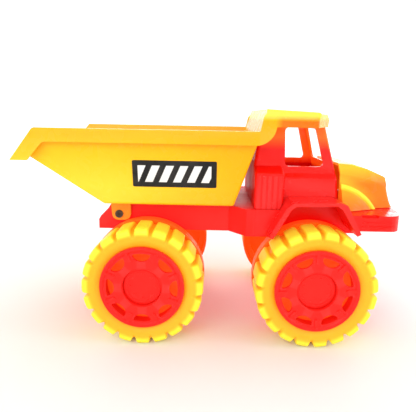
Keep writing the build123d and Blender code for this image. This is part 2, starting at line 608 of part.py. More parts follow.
with BuildPart() as dump_bed:
    # Skirt that hangs outside the walls, along the rim, down the slanting spout and up to the canopy.
    with BuildSketch(Plane.XZ) as skirt:
        with BuildLine():
            Polyline(
                (SPOUT_TIP_X, SPOUT_TIP_Z),
                (RIM_REAR_X, RIM_Z),
                (canopy_x(RIM_Z), RIM_Z),
                (canopy_x(CANOPY_SHOULDER_Z), CANOPY_SHOULDER_Z),
                (CHEEK_X, CANOPY_SHOULDER_Z),
                (CHEEK_X, CANOPY_LIP_Z),
            )
            front_curve = ThreePointArc(*CHEEK_CURVE)
            Polyline(
                front_curve @ 1,
                (SKIRT_REAR_X, SKIRT_Z),
                (SPOUT_TIP_X + SPOUT_TIP_LENGTH, SPOUT_TIP_Z),
                (SPOUT_TIP_X, SPOUT_TIP_Z),
            )
        make_face()
        fillet(skirt.vertices().sort_by_distance((RIM_REAR_X, RIM_Z))[0], radius=RIM_CORNER)
        fillet(skirt.vertices().sort_by_distance((SKIRT_REAR_X, SKIRT_Z))[0], radius=SKIRT_CORNER)
    extrude(amount=SKIRT_HALF, both=True)
    with BuildSketch(Plane.XZ):
        Polygon(
            (SPOUT_TIP_X + SPOUT_LIP, SPOUT_TIP_Z - 1.0),
            (RIM_REAR_X + SPOUT_LIP - 0.9, RIM_Z - SKIRT_WALL),
            (canopy_x(RIM_Z) - SKIRT_WALL, RIM_Z - SKIRT_WALL),
            (canopy_x(RIM_Z) - SKIRT_WALL, BED_FLOOR_Z),
            (SPOUT_TIP_X + SPOUT_LIP, BED_FLOOR_Z),
            align=None,
        )
    extrude(amount=SKIRT_HALF - SKIRT_WALL, both=True, mode=Mode.SUBTRACT)
    # Canopy over the cab, a tray turned upside down.
    add(canopy)
    add(canopy_inside, mode=Mode.SUBTRACT)
    # Foot of the canopy's back, between the walls of the load space and the skirt.
    with BuildSketch(Plane.XZ):
        Polygon(
            (canopy_x(SKIRT_Z), SKIRT_Z),
            (canopy_x(CANOPY_SHOULDER_Z), CANOPY_SHOULDER_Z),
            (canopy_x(CANOPY_SHOULDER_Z) + WALL, CANOPY_SHOULDER_Z),
            (canopy_x(SKIRT_Z) + WALL, SKIRT_Z),
            align=None,
        )
    extrude(amount=SKIRT_HALF, both=True)
    # Load space: floor, ramp, front wall and two sloping sides.
    add(tub.part)
    add(bed_inside.part, mode=Mode.SUBTRACT)
    # Hinge ears outside the chassis rails.
    for side in (1, -1):
        with BuildSketch(Plane.XZ.offset(-side * EAR_INNER_Y)) as ear:
            Polygon(
                (EAR_REAR_X, BED_FLOOR_Z + 1.0),
                (EAR_FRONT_X, BED_FLOOR_Z + 1.0),
                (EAR_FRONT_X, EAR_BOTTOM_Z),
                (EAR_REAR_X + EAR_TAPER, EAR_BOTTOM_Z),
                align=None,
            )
            fillet(ear.vertices().group_by(Axis.Y)[0], radius=EAR_CORNER)
            with Locations((HINGE_X, HINGE_Z)):
                Circle(HINGE_SHANK_RADIUS + HINGE_RUNNING_GAP, mode=Mode.SUBTRACT)
        extrude(amount=-side * (EAR_OUTER_Y - EAR_INNER_Y))

# ---------------------------------------------------------------- wheels
# Each wheel piece is drawn with its axis up and its outer face on top; z is then the
# distance from the truck's centre plane.
TYRE_SKIN = 2.4
LUG_EDGE = 1.2
WINDOW_CORNER_RADIUS = 1.2
SPOKE_PROUD = 1.0
CAP_STUD_CIRCLE = 12.0
CAP_STUD_RADIUS = 1.1
CAP_RING = (15.7, 14.7)
CAP_EDGE = 0.8
CAP_STUD_PROUD = 0.5
AXLE_END_GAP = 0.1
AXLE_CHAMFER = 0.4

with BuildPart() as lug:
    with BuildSketch(Plane.XZ):
        Polygon(
            (LUG_FOOT_RADIUS, TYRE_OUTER_Y - 3.0),
            (LUG_FOOT_RADIUS, TYRE_OUTER_Y - 1.3),
            (LUG_FOOT_RADIUS + 2.0, TYRE_OUTER_Y - 0.4),
            (LUG_FOOT_RADIUS + 4.4, TYRE_OUTER_Y),
            (TYRE_RADIUS - 1.6, TYRE_OUTER_Y - 1.0),
            (TYRE_RADIUS, TYRE_OUTER_Y - 3.6),
            (TYRE_RADIUS, LUG_INNER_Y),
            (TREAD_RADIUS - 1.0, LUG_INNER_Y),
            (TREAD_RADIUS - 1.0, TYRE_OUTER_Y - 11.0),
            align=None,
        )
    extrude(amount=LUG_WIDTH / 2, both=True)
    with BuildSketch(Plane.XY):
        Circle(TYRE_RADIUS)
    extrude(amount=FAR, mode=Mode.INTERSECT)
    fillet(lug.faces().sort_by(Axis.X)[-1].edges(), radius=LUG_EDGE)

with BuildPart() as tyre:
    with BuildSketch(Plane.XZ):
        with BuildLine():
            Polyline(
                (BEAD_RADIUS, TYRE_OUTER_Y - 6.2),
                (BEAD_RADIUS, TYRE_OUTER_Y - 3.6),
                (HUB_RADIUS + 1.5, TYRE_OUTER_Y - 3.6),
                (LUG_FOOT_RADIUS - 2.0, TYRE_OUTER_Y - 1.2),
                (LUG_FOOT_RADIUS, TYRE_OUTER_Y - 1.4),
                (LUG_FOOT_RADIUS + 2.2, TYRE_OUTER_Y - 4.2),
                (TREAD_RADIUS, TYRE_OUTER_Y - 11.0),
                (TREAD_RADIUS, LUG_INNER_Y),
                (TREAD_RADIUS, BAND_OUTER_Y + 0.2),
                (TREAD_RADIUS - TYRE_SKIN, BAND_OUTER_Y + 0.2),
                (TREAD_RADIUS - TYRE_SKIN, TYRE_OUTER_Y - 11.6),
                (LUG_FOOT_RADIUS - 0.4, TYRE_OUTER_Y - 4.8),
                (LUG_FOOT_RADIUS - 2.2, TYRE_OUTER_Y - 3.8),
                (HUB_RADIUS + 2.5, TYRE_OUTER_Y - 6.2),
                close=True,
            )
        make_face()
    revolve(axis=Axis.Z)
    with PolarLocations(0.0, LUG_COUNT):
        add(lug.part)

# Drum inside the tyre, with a smooth band that shows inboard of the lugs.
with BuildPart() as wheel_core:
    with BuildSketch(Plane.XZ):
        with BuildLine():
            Polyline(
                (HUB_BOSS_RADIUS + 0.2, CORE_WEB_Y),
                (CORE_DRUM_RADIUS, CORE_WEB_Y),
                (CORE_DRUM_RADIUS, BAND_OUTER_Y),
                (TYRE_RADIUS - 1.0, BAND_OUTER_Y),
                (TYRE_RADIUS, BAND_OUTER_Y - 1.0),
                (TYRE_RADIUS, TYRE_INNER_Y + 1.0),
                (TYRE_RADIUS - 1.0, TYRE_INNER_Y),
                (TYRE_RADIUS - WALL, TYRE_INNER_Y),
                (TYRE_RADIUS - WALL, BAND_OUTER_Y - WALL),
                (CORE_DRUM_RADIUS - WALL, BAND_OUTER_Y - WALL),
                (CORE_DRUM_RADIUS - WALL, CORE_WEB_Y - WALL),
                (HUB_BOSS_RADIUS + 0.2, CORE_WEB_Y - WALL),
                close=True,
            )
        make_face()
    revolve(axis=Axis.Z)

with BuildPart() as hub:
    with BuildSketch(Plane.XZ):
        with BuildLine():
            Polyline(
                (AXLE_RADIUS, TYRE_INNER_Y + 1.0),
                (HUB_BOSS_RADIUS, TYRE_INNER_Y + 1.0),
                (HUB_BOSS_RADIUS, RECESS_FLOOR_Y - WALL),
                (RECESS_RADIUS + WALL, RECESS_FLOOR_Y - WALL),
                (RECESS_RADIUS + WALL, HUB_FACE_Y - WALL),
                (HUB_SKIRT_RADIUS - WALL, HUB_FACE_Y - WALL),
                (HUB_SKIRT_RADIUS - WALL, TYRE_OUTER_Y - 14.0),
                (HUB_SKIRT_RADIUS, TYRE_OUTER_Y - 14.0),
                (HUB_SKIRT_RADIUS, TYRE_OUTER_Y - 3.4),
                (HUB_RADIUS, TYRE_OUTER_Y - 3.4),
                (HUB_RADIUS, HUB_RIM_Y - 0.8),
                (HUB_RADIUS - 0.8, HUB_RIM_Y),
                (HUB_RADIUS - 3.2, HUB_RIM_Y),
                (HUB_RADIUS - 4.5, HUB_FACE_Y),
                (RECESS_RADIUS + 0.8, HUB_FACE_Y),
                (RECESS_RADIUS, HUB_FACE_Y - 0.8),
                (RECESS_RADIUS, RECESS_FLOOR_Y),
                (AXLE_RADIUS, RECESS_FLOOR_Y),
                close=True,
            )
        make_face()
    revolve(axis=Axis.Z)
    with BuildSketch(Plane.XY.offset(HUB_FACE_Y - 2 * WALL)) as windows:
        with PolarLocations(WINDOW_OUTER_RADIUS, WINDOW_COUNT):
            Ellipse(WINDOW_DEPTH, WINDOW_WIDTH / 2)
        Circle(WINDOW_OUTER_RADIUS, mode=Mode.INTERSECT)
        fillet(windows.vertices(), radius=WINDOW_CORNER_RADIUS)
    extrude(amount=3 * WALL, mode=Mode.SUBTRACT)
    with BuildSketch(Plane.XY.offset(HUB_FACE_Y)):
        with PolarLocations(SPOKE_RADIUS, WINDOW_COUNT, start_angle=180.0 / WINDOW_COUNT):
            SlotOverall(SPOKE_LENGTH, SPOKE_WIDTH)
    extrude(amount=SPOKE_PROUD)

with BuildPart() as hub_cap:
    with BuildSketch(Plane.XY.offset(RECESS_FLOOR_Y)):
        Circle(CAP_RADIUS)
    extrude(amount=CAP_FACE_Y - RECESS_FLOOR_Y)
    fillet(hub_cap.edges().group_by(Axis.Z)[-1], radius=CAP_EDGE)
    with BuildSketch(Plane.XY.offset(CAP_FACE_Y)):
        Circle(CAP_RING[0])
        Circle(CAP_RING[1], mode=Mode.SUBTRACT)
        with PolarLocations(CAP_STUD_CIRCLE, WINDOW_COUNT):
            Circle(CAP_STUD_RADIUS)
    extrude(amount=CAP_STUD_PROUD)

with BuildPart() as axle:
    with BuildSketch(Plane.XY.offset(AXLE_END_GAP - RECESS_FLOOR_Y)):
        Circle(AXLE_RADIUS)
    extrude(amount=2 * (RECESS_FLOOR_Y - AXLE_END_GAP))
    chamfer(axle.edges().filter_by(GeomType.CIRCLE), length=AXLE_CHAMFER)

# ---------------------------------------------------------------- screws and decals
SCREW_LENGTH = 14.0
HEAD_HEIGHT = 2.0
RECESS_CROSS = (3.6, 0.8)
RECESS_DEPTH = 1.0
HINGE_SCREW_LENGTH = 12.0
HINGE_HEAD_Y = EAR_OUTER_Y + 0.3
HINGE_HEAD_HEIGHT = 1.8
HINGE_CROSS = (4.6, 0.9)
DECAL_THICKNESS = 0.3
DECAL = (-77.0, 3.5, 149.5, 176.0)    # rear, front, bottom and top
DECAL_CORNER = 1.5
DECAL_GAP = 0.02

with BuildPart() as screw:
    with BuildSketch(Plane.XY):
        Circle(SCREW_SHANK)
    extrude(amount=SCREW_LENGTH)
    with BuildSketch(Plane.XY):
        Circle(SCREW_HEAD)
    extrude(amount=-HEAD_HEIGHT)
    with BuildSketch(Plane.XY.offset(-HEAD_HEIGHT)):
        Rectangle(*RECESS_CROSS)
        Rectangle(*reversed(RECESS_CROSS))
    extrude(amount=RECESS_DEPTH, mode=Mode.SUBTRACT)

with BuildPart() as hinge_screws:
    for side in (1, -1):
        with BuildSketch(Plane.XZ.offset(-side * HINGE_HEAD_Y)):
            with Locations((HINGE_X, HINGE_Z)):
                Circle(2 * HINGE_SHANK_RADIUS)
        extrude(amount=-side * HINGE_HEAD_HEIGHT)
        with BuildSketch(Plane.XZ.offset(-side * HINGE_HEAD_Y)):
            with Locations((HINGE_X, HINGE_Z)):
                Circle(HINGE_SHANK_RADIUS)
        extrude(amount=side * HINGE_SCREW_LENGTH)
        with BuildSketch(Plane.XZ.offset(-side * (HINGE_HEAD_Y + HINGE_HEAD_HEIGHT))):
            with Locations((HINGE_X, HINGE_Z)):
                Rectangle(*HINGE_CROSS)
                Rectangle(*reversed(HINGE_CROSS))
        extrude(amount=side * RECESS_DEPTH, mode=Mode.SUBTRACT)


def screw_group(places):
    """Identical screws, heads down, as one group of separate solids."""
    with BuildPart() as group:
        with Locations(*[(x, y, SCREW_SEAT_Z) for x, y in places]):
            add(screw.part)
    return group.part


def decal(side):
    """A printed label on the bed's sloping side."""
    lean = Plane(
        origin=(sum(DECAL[:2]) / 2, side * (half_width(sum(DECAL[2:]) / 2) + DECAL_GAP), sum(DECAL[2:]) / 2),
        x_dir=(1, 0, 0),
        z_dir=(0, side, -SIDE_SLOPE),
    )
    with BuildPart() as label:
        with BuildSketch(lean):
            RectangleRounded(DECAL[1] - DECAL[0], DECAL[3] - DECAL[2], DECAL_CORNER)
        extrude(amount=DECAL_THICKNESS)
    return label.part


# ---------------------------------------------------------------- write the parts
for part, name in (
    (chassis.part, "chassis"),
    (cab.part, "cab"),
    (hood.part, "hood"),
    (dump_bed.part, "dump_bed"),
    (hinge_screws.part, "hinge_screws"),
    (screw_group(BODY_SCREWS), "cab_screws"),
    (screw_group(HOOD_SCREWS), "hood_screws"),
    (decal(1), "bed_label_left"),
    (decal(-1), "bed_label_right"),
):
    save(part, name)

FRONT_PHASE = 25.0            # turn of the front wheels against the rear ones
for axle_x, row, phase in ((REAR_AXLE_X, "rear", 0.0), (FRONT_AXLE_X, "front", FRONT_PHASE)):
    crosswise = Plane(origin=(axle_x, 0, AXLE_Z), x_dir=(1, 0, 0), z_dir=(0, 1, 0))
    save(crosswise.from_local_coords(axle.part), f"{row}_axle")
    for side, hand in ((1, "left"), (-1, "right")):
        turned = Plane(
            origin=(axle_x, 0, AXLE_Z),
            x_dir=(cos(radians(phase)), 0, sin(radians(phase))),
            z_dir=(0, side, 0),
        )
        for piece, kind in ((tyre, "tyre"), (wheel_core, "wheel_core"), (hub, "hub"), (hub_cap, "hub_cap")):
            save(turned.from_local_coords(piece.part), f"{kind}_{row}_{hand}")
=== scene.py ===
import math

import bmesh
import bpy
from mathutils import Matrix, Vector


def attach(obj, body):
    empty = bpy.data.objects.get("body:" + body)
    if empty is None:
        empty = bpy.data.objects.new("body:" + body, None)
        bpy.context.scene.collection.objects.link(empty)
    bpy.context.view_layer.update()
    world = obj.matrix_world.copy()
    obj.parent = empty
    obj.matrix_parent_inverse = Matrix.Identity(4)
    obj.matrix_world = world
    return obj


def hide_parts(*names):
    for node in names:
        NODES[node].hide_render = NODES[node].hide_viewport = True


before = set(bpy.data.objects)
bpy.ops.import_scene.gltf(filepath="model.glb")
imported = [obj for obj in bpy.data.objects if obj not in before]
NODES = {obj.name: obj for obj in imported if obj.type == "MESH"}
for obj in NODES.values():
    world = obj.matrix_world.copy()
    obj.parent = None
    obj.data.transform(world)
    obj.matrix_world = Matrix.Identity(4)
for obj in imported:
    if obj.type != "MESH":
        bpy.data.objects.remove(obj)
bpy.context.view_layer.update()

# ---------------------------------------------------------------- camera and studio
CAMERA_PLACE = (0.0, -0.4817, 0.2177)
CAMERA_LENS = 36.55
CAMERA_SENSOR = 36.0
CAMERA_YAW = -0.615
CAMERA_PITCH = 12.04
CAMERA_ROLL = 1.07
NEAR_CLIP = 0.01

WORLD_COLOUR = (1.0, 0.992, 0.985, 1.0)
WORLD_STRENGTH = 0.48
EXPOSURE = -0.15
PAPER = (0.94, 0.93, 0.925, 1.0)
PAPER_ROUGHNESS = 0.9
BACKDROP_GLOW = 0.42          # the backdrop is lit on its own, away from the truck
BACKDROP_GLOW_FROM = 0.5
BACKDROP_GLOW_FULL = 1.4
# Floor that curves up into a backdrop all round: radius and height of each ring.
BACKDROP = [(1.2, 0.0), (1.8, 0.0), (2.15, 0.06), (2.4, 0.25), (2.5, 0.6), (2.5, 2.6)]
BACKDROP_STEPS = 64
# name, place, target, size, watts
LAMPS = [
    ("key", (-0.45, -1.35, 0.95), (0.0, 0.0, 0.1), (1.0, 0.7), 6.0),
    ("top", (0.1, 0.25, 1.3), (0.0, 0.0, 0.1), (1.3, 0.9), 6.0),
    ("side", (1.3, -0.4, 0.6), (0.0, 0.0, 0.1), (0.5, 0.6), 2.5),
    ("rim", (0.15, 1.5, 0.52), (0.0, 0.0, 0.12), (1.6, 0.22), 5.0),
]


def add_camera():
    data = bpy.data.cameras.new("view")
    data.lens = CAMERA_LENS
    data.sensor_width = CAMERA_SENSOR
    data.clip_start = NEAR_CLIP
    camera = bpy.data.objects.new("view", data)
    turn = (
        Matrix.Rotation(math.radians(-CAMERA_YAW), 4, "Z")
        @ Matrix.Rotation(math.radians(90.0 - CAMERA_PITCH), 4, "X")
        @ Matrix.Rotation(math.radians(CAMERA_ROLL), 4, "Z")
    )
    camera.matrix_world = Matrix.Translation(CAMERA_PLACE) @ turn
    bpy.context.collection.objects.link(camera)
    bpy.context.scene.camera = camera


def add_area(name, place, target, size, power):
    data = bpy.data.lights.new(name, "AREA")
    data.shape = "RECTANGLE"
    data.size, data.size_y = size
    data.energy = power
    lamp = bpy.data.objects.new(name, data)
    lamp.location = place
    aim = Vector(target) - Vector(place)
    lamp.rotation_euler = aim.to_track_quat("-Z", "Y").to_euler()
    lamp.visible_camera = False
    bpy.context.collection.objects.link(lamp)


def add_floor():
    shape = bmesh.new()
    rows = []
    for radius, height in BACKDROP:
        turns = [2 * math.pi * step / BACKDROP_STEPS for step in range(BACKDROP_STEPS)]
        rows.append([shape.verts.new((radius * math.cos(a), radius * math.sin(a), height)) for a in turns])
    shape.faces.new(rows[0])
    for low, high in zip(rows, rows[1:]):
        for step in range(BACKDROP_STEPS):
            after = (step + 1) % BACKDROP_STEPS
            shape.faces.new((low[after], low[step], high[step], high[after]))
    mesh = bpy.data.meshes.new("floor")
    shape.to_mesh(mesh)
    shape.free()
    for face in mesh.polygons:
        face.use_smooth = True
    floor = bpy.data.objects.new("floor", mesh)
    bpy.context.collection.objects.link(floor)
    paper = bpy.data.materials.new("floor_paper")
    paper.use_nodes = True
    bsdf = paper.node_tree.nodes["Principled BSDF"]
    bsdf.inputs["Base Color"].default_value = PAPER
    bsdf.inputs["Roughness"].default_value = PAPER_ROUGHNESS
    bsdf.inputs["Emission Color"].default_value = PAPER
    place = paper.node_tree.nodes.new("ShaderNodeTexCoord")
    reach = paper.node_tree.nodes.new("ShaderNodeVectorMath")
    reach.operation = "LENGTH"
    glow = paper.node_tree.nodes.new("ShaderNodeMapRange")
    glow.inputs["From Min"].default_value = BACKDROP_GLOW_FROM
    glow.inputs["From Max"].default_value = BACKDROP_GLOW_FULL
    glow.inputs["To Max"].default_value = BACKDROP_GLOW
    paper.node_tree.links.new(place.outputs["Object"], reach.inputs[0])
    paper.node_tree.links.new(reach.outputs["Value"], glow.inputs["Value"])
    paper.node_tree.links.new(glow.outputs["Result"], bsdf.inputs["Emission Strength"])
    mesh.materials.append(paper)


def add_studio():
    world = bpy.data.worlds.new("studio")
    world.use_nodes = True
    world.node_tree.nodes["Background"].inputs["Color"].default_value = WORLD_COLOUR
    world.node_tree.nodes["Background"].inputs["Strength"].default_value = WORLD_STRENGTH
    bpy.context.scene.world = world
    bpy.context.scene.view_settings.view_transform = "Standard"
    bpy.context.scene.view_settings.exposure = EXPOSURE
    add_floor()
    for lamp in LAMPS:
        add_area(*lamp)


# ---------------------------------------------------------------- materials
# Noise scales are in features per metre.
DRIFT_SCALE = 16.0            # slow colour drift
DRIFT_DETAIL = 3.0
DRIFT_RANGE = (0.35, 0.75)
DRIFT_SHARE = 0.6             # how far the drift goes towards the deeper colour
SCUFF_SCALE = 70.0
SCUFF_DETAIL = 6.0
SCUFF_WARP = 0.6
SCUFF_RANGE = (0.35, 0.7)
SCUFF_SMOOTHER = 0.05         # roughness lost and gained between the ends of that range
SCUFF_ROUGHER = 0.1
SAG_SCALE = 26.0              # shallow waves left by the cooling mould
SAG_DETAIL = 1.0
SAG_DEPTH = 0.0008
SAG_STRENGTH = 0.06
GRAIN_SCALE = 1100.0
GRAIN_DETAIL = 2.0
GRAIN_DEPTH = 0.00015
GRAIN_STRENGTH = 0.03
EDGE_FROM = 0.54              # pointiness at which an edge starts to turn paler
EDGE_TO = 0.70
EDGE_STRENGTH = 0.08
EDGE_WHITE = 0.4              # share of white in the colour of a worn edge
SPECULAR = 0.2
METAL_SPECULAR = 0.5
LIT_EXTRA = 0.35              # painted light: emission added where light is carried into the shell from outside
MATT_EXTRA = 0.25             # added roughness where the moulding has a dull texture
SCATTER = 0.12
SCATTER_RADIUS = (0.006, 0.003, 0.001)
ARCH_CENTRE = (0.1215, 0.103)  # X and Z of the hood's wheel arches


class Shader:
    """A node material under construction."""

    def __init__(self, name):
        self.material = bpy.data.materials.new(name)
        self.material.use_nodes = True
        self.tree = self.material.node_tree
        self.bsdf = self.tree.nodes["Principled BSDF"]
        self.place = self.tree.nodes.new("ShaderNodeTexCoord").outputs["Object"]
        self.axes = self.tree.nodes.new("ShaderNodeSeparateXYZ")
        self.tree.links.new(self.place, self.axes.inputs["Vector"])

    def plug(self, value, socket):
        if isinstance(value, (int, float)):
            socket.default_value = value
        elif isinstance(value, tuple):
            socket.default_value = (*value, 1.0)
        else:
            self.tree.links.new(value, socket)

    def noise(self, scale, detail, distortion=0.0):
        node = self.tree.nodes.new("ShaderNodeTexNoise")
        node.inputs["Scale"].default_value = scale
        node.inputs["Detail"].default_value = detail
        node.inputs["Distortion"].default_value = distortion
        self.plug(self.place, node.inputs["Vector"])
        return node.outputs["Fac"]

    def spread(self, value, low, high, to_low=0.0, to_high=1.0):
        node = self.tree.nodes.new("ShaderNodeMapRange")
        node.inputs["From Min"].default_value = low
        node.inputs["From Max"].default_value = high
        node.inputs["To Min"].default_value = to_low
        node.inputs["To Max"].default_value = to_high
        self.plug(value, node.inputs["Value"])
        return node.outputs["Result"]

    def math(self, operation, first, second=0.0):
        node = self.tree.nodes.new("ShaderNodeMath")
        node.operation = operation
        self.plug(first, node.inputs[0])
        self.plug(second, node.inputs[1])
        return node.outputs["Value"]

    def mix(self, factor, first, second):
        node = self.tree.nodes.new("ShaderNodeMix")
        node.data_type = "RGBA"
        self.plug(first, node.inputs["A"])
        self.plug(second, node.inputs["B"])
        self.plug(factor, node.inputs["Factor"])
        return node.outputs["Result"]

    def bump(self, height, strength, depth, normal=None):
        node = self.tree.nodes.new("ShaderNodeBump")
        node.inputs["Strength"].default_value = strength
        node.inputs["Distance"].default_value = depth
        self.plug(height, node.inputs["Height"])
        if normal:
            self.plug(normal, node.inputs["Normal"])
        return node.outputs["Normal"]

    def along(self, axis):
        """Position along an axis, up a lug or out from the hood's wheel arches.

        A leading bar means distance from the truck's centre plane.
        """
        if axis == "lug":
            node = self.tree.nodes.new("ShaderNodeAttribute")
            node.attribute_name = axis
            return node.outputs["Fac"]
        if axis == "arch":
            ahead = self.math("SUBTRACT", self.axes.outputs["X"], ARCH_CENTRE[0])
            above = self.math("SUBTRACT", self.axes.outputs["Z"], ARCH_CENTRE[1])
            squares = [self.math("MULTIPLY", reach, reach) for reach in (ahead, above)]
            return self.math("SQRT", self.math("ADD", *squares))
        if axis.startswith("|"):
            return self.math("ABSOLUTE", self.axes.outputs[axis[1:]])
        return self.axes.outputs[axis]

    def region(self, ranges, strength):
        """Where every (axis, edge, full) range is reached, softly."""
        amount = strength
        for axis, edge, full in ranges:
            amount = self.math("MULTIPLY", self.spread(self.along(axis), edge, full), amount)
        return amount


def moulded_plastic(name, colour, deep, roughness, scatter=SCATTER, tints=(), matt=(), lit=(), glow=0.0):
    """Moulded plastic: colour drift, tints by place that mostly paint light and shade, scuffs, fine grain
    and paler worn edges.

    The glow is painted light: an emission that stands for the light that thin coloured plastic lets
    through.
    """
    shade = Shader(name)
    drift = shade.spread(shade.noise(DRIFT_SCALE, DRIFT_DETAIL), *DRIFT_RANGE, 0.0, DRIFT_SHARE)
    body = shade.mix(drift, colour, deep)
    for tint, strength, ranges in tints:
        body = shade.mix(shade.region(ranges, strength), body, tint)
    edge = shade.tree.nodes.new("ShaderNodeNewGeometry").outputs["Pointiness"]
    pale = tuple((1.0 - EDGE_WHITE) * channel + EDGE_WHITE for channel in colour)
    body = shade.mix(shade.spread(edge, EDGE_FROM, EDGE_TO, 0.0, EDGE_STRENGTH), body, pale)
    shade.plug(body, shade.bsdf.inputs["Base Color"])
    shade.plug(body, shade.bsdf.inputs["Emission Color"])
    shining = glow
    for ranges in lit:
        shining = shade.math("ADD", shining, shade.region(ranges, LIT_EXTRA))
    shade.plug(shining, shade.bsdf.inputs["Emission Strength"])
    scuff = shade.noise(SCUFF_SCALE, SCUFF_DETAIL, SCUFF_WARP)
    rough = shade.spread(scuff, *SCUFF_RANGE, roughness - SCUFF_SMOOTHER, roughness + SCUFF_ROUGHER)
    for ranges in matt:
        rough = shade.math("ADD", rough, shade.region(ranges, MATT_EXTRA))
    shade.plug(rough, shade.bsdf.inputs["Roughness"])
    fine = shade.bump(shade.noise(GRAIN_SCALE, GRAIN_DETAIL), GRAIN_STRENGTH, GRAIN_DEPTH)
    waves = shade.bump(shade.noise(SAG_SCALE, SAG_DETAIL), SAG_STRENGTH, SAG_DEPTH, fine)
    shade.plug(waves, shade.bsdf.inputs["Normal"])
    shade.bsdf.inputs["Subsurface Weight"].default_value = scatter
    shade.bsdf.inputs["Subsurface Radius"].default_value = SCATTER_RADIUS
    shade.bsdf.inputs["Subsurface Scale"].default_value = 1.0
    shade.bsdf.inputs["Specular IOR Level"].default_value = SPECULAR
    return shade.material


def metal(name, colour, deep, roughness):
    material = moulded_plastic(name, colour, deep, roughness, scatter=0.0)
    bsdf = material.node_tree.nodes["Principled BSDF"]
    bsdf.inputs["Metallic"].default_value = 1.0
    bsdf.inputs["Specular IOR Level"].default_value = METAL_SPECULAR
    return material


LABEL_BLACK = (0.012, 0.011, 0.011)
LABEL_DEEP = (0.03, 0.027, 0.026)
LABEL_INK = (0.86, 0.86, 0.84)
LABEL_BAR_PITCH = 0.0135
LABEL_BAR_SHARE = 0.56
LABEL_BAR_LEAN = 0.45
LABEL_BAR_X = (-0.0720, -0.0015)
LABEL_BAR_Z = (0.1545, 0.1710)
LABEL_SOFT = 0.0003           # width of the blur round the field of bars
LABEL_FADE_DETAIL = 4.0
LABEL_FADE_RANGE = (0.4, 0.7)
LABEL_GLOSS_DETAIL = 5.0
LABEL_GLOSS_RANGE = (0.3, 0.7)
LABEL_ROUGHNESS = (0.28, 0.42)
LABEL_GRAIN_STRENGTH = 0.1


def printed_label():
    """Black label with a plain row of leaning pale bars."""
    shade = Shader("label")
    x, z = shade.axes.outputs["X"], shade.axes.outputs["Z"]
    leaning = shade.math("SUBTRACT", x, shade.math("MULTIPLY", z, LABEL_BAR_LEAN))
    phase = shade.math("FRACT", shade.math("DIVIDE", leaning, LABEL_BAR_PITCH))
    bars = shade.math("LESS_THAN", phase, LABEL_BAR_SHARE)
    window = [
        ("X", LABEL_BAR_X[0], LABEL_BAR_X[0] + LABEL_SOFT),
        ("X", LABEL_BAR_X[1], LABEL_BAR_X[1] - LABEL_SOFT),
        ("Z", LABEL_BAR_Z[0], LABEL_BAR_Z[0] + LABEL_SOFT),
        ("Z", LABEL_BAR_Z[1], LABEL_BAR_Z[1] - LABEL_SOFT),
    ]
    fade = shade.spread(shade.noise(SCUFF_SCALE, LABEL_FADE_DETAIL), *LABEL_FADE_RANGE)
    field = shade.mix(fade, LABEL_BLACK, LABEL_DEEP)
    body = shade.mix(shade.math("MULTIPLY", shade.region(window, 1.0), bars), field, LABEL_INK)
    shade.plug(body, shade.bsdf.inputs["Base Color"])
    gloss = shade.noise(SCUFF_SCALE, LABEL_GLOSS_DETAIL)
    shade.plug(shade.spread(gloss, *LABEL_GLOSS_RANGE, *LABEL_ROUGHNESS), shade.bsdf.inputs["Roughness"])
    fine = shade.bump(shade.noise(GRAIN_SCALE, GRAIN_DETAIL), LABEL_GRAIN_STRENGTH, GRAIN_DEPTH)
    shade.plug(fine, shade.bsdf.inputs["Normal"])
    shade.bsdf.inputs["Specular IOR Level"].default_value = SPECULAR
    return shade.material


# Painted shade: the orange that the yellow canopy's sides take on over the red cab.
CANOPY_SHADE_ORANGE = (1.0, 0.12, 0.0)
# Painted shade: the orange of the tyre's tread on its inboard side, under the chassis.
TREAD_SHADE_ORANGE = (1.0, 0.40, 0.008)
WARM_ORANGE = (1.0, 0.27, 0.0)
LEMON = (1.0, 0.88, 0.05)
# Painted light: the orange light on the cab's inner walls.
GLOW_ORANGE = (1.0, 0.16, 0.008)

# Places on the truck, each a list of ranges for Shader.region.
# Painted light: the cab's inner walls, seen through the windows, turn orange and glow.
CAB_INSIDE = [("X", 0.045, 0.050), ("Z", 0.158, 0.164), ("|Y", 0.0492, 0.0480)]
CAB_BACK = [("X", 0.0423, 0.0418)]
BED_FRONT = [("X", -0.08, 0.03)]
BED_LOW_REAR = [("Z", 0.200, 0.150), ("X", 0.04, -0.10)]
# Painted shade: the hinge ears under the bed's floor turn orange.
HINGE_EARS = [("Z", 0.1315, 0.1285), ("|Y", 0.050, 0.052)]
# Painted shade and painted red light from the cab beneath: the canopy's sides turn orange.
CANOPY_SIDE = [("X", 0.056, 0.062), ("X", 0.0965, 0.0945), ("Z", 0.2060, 0.2095), ("|Y", 0.088, 0.0925)]
# Painted light: the canopy's top is lighter where it faces the lamps above.
CANOPY_TOP = [("Z", 0.214, 0.220)]
# Painted shade: the inboard part of the tread, shaded by the chassis, turns orange.
TREAD_INBOARD = [("|Y", 0.1085, 0.1055)]
# Painted highlight: the tops of the lugs are lighter than the sidewall and grooves.
LUG_TOPS = [("lug", 0.1, 0.9)]
# Painted light: the upper parts of the hood's swellings, its crest and the bead round each arch are
# lighter where light falls on them.
HOOD_SWELLING = [("Z", 0.130, 0.155), ("arch", 0.060, 0.052), ("|Y", 0.050, 0.054)]
HOOD_CREST = [("Z", 0.152, 0.168)]
HOOD_BEAD = [("arch", 0.0450, 0.0475), ("arch", 0.0520, 0.0500), ("|Y", 0.0555, 0.0580)]

